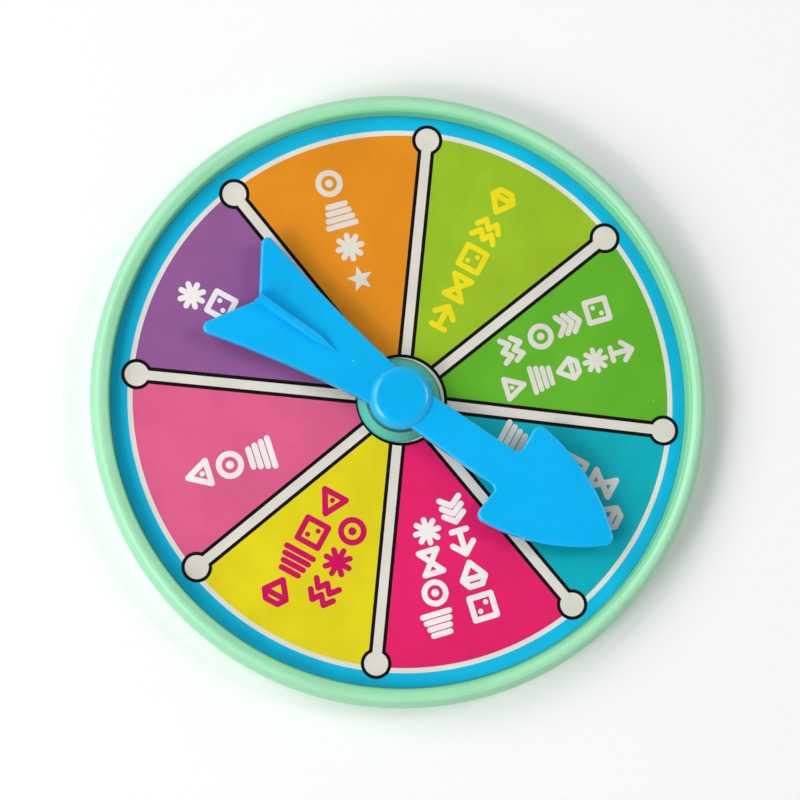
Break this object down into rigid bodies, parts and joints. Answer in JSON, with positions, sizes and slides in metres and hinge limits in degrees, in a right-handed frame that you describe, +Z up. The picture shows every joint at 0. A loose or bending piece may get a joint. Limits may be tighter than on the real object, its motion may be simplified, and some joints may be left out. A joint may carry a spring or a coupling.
{
  "type": "game spinner",
  "caption": "Round moulded plastic game spinner: shallow rimmed tray, printed paper dial with coloured sectors, and a free-spinning arrow pointer on a raised central boss.",
  "frame": {"origin": "centre of the flat face the tray rests on, on the pointer's axis of rotation", "axes": "+Z up along the pointer's axis; +X and +Y across the dial, with the dial's printed spokes at about 84 degrees from +X and about every 45 degrees after it; the pointer at rest points 34.05 degrees clockwise from +X"},
  "size_m": [0.1004, 0.1004, 0.0095],
  "materials": {
    "tray_plastic": "mint green moulded plastic, semi-gloss",
    "dial_paper": "printed coated paper with coloured sectors",
    "pointer_plastic": "sky blue moulded plastic, glossy and slightly translucent",
    "washer_plastic": "natural white, matt",
    "washer_steel": "zinc plated",
    "screw_steel": "zinc plated"
  },
  "bodies": {
    "base": {"base_tray": "tray_plastic", "dial_label": "dial_paper", "thrust_washer": "washer_plastic"},
    "arrow": {"pointer": "pointer_plastic", "retaining_washer": "washer_steel", "retaining_screw": "screw_steel"}
  },
  "joints": [
    {"name": "pointer_spin", "type": "hinge", "parent": "base", "child": "arrow", "pos_m": [0, 0, 0.0056], "axis": [0, 0, 1], "continuous": true}
  ]
}
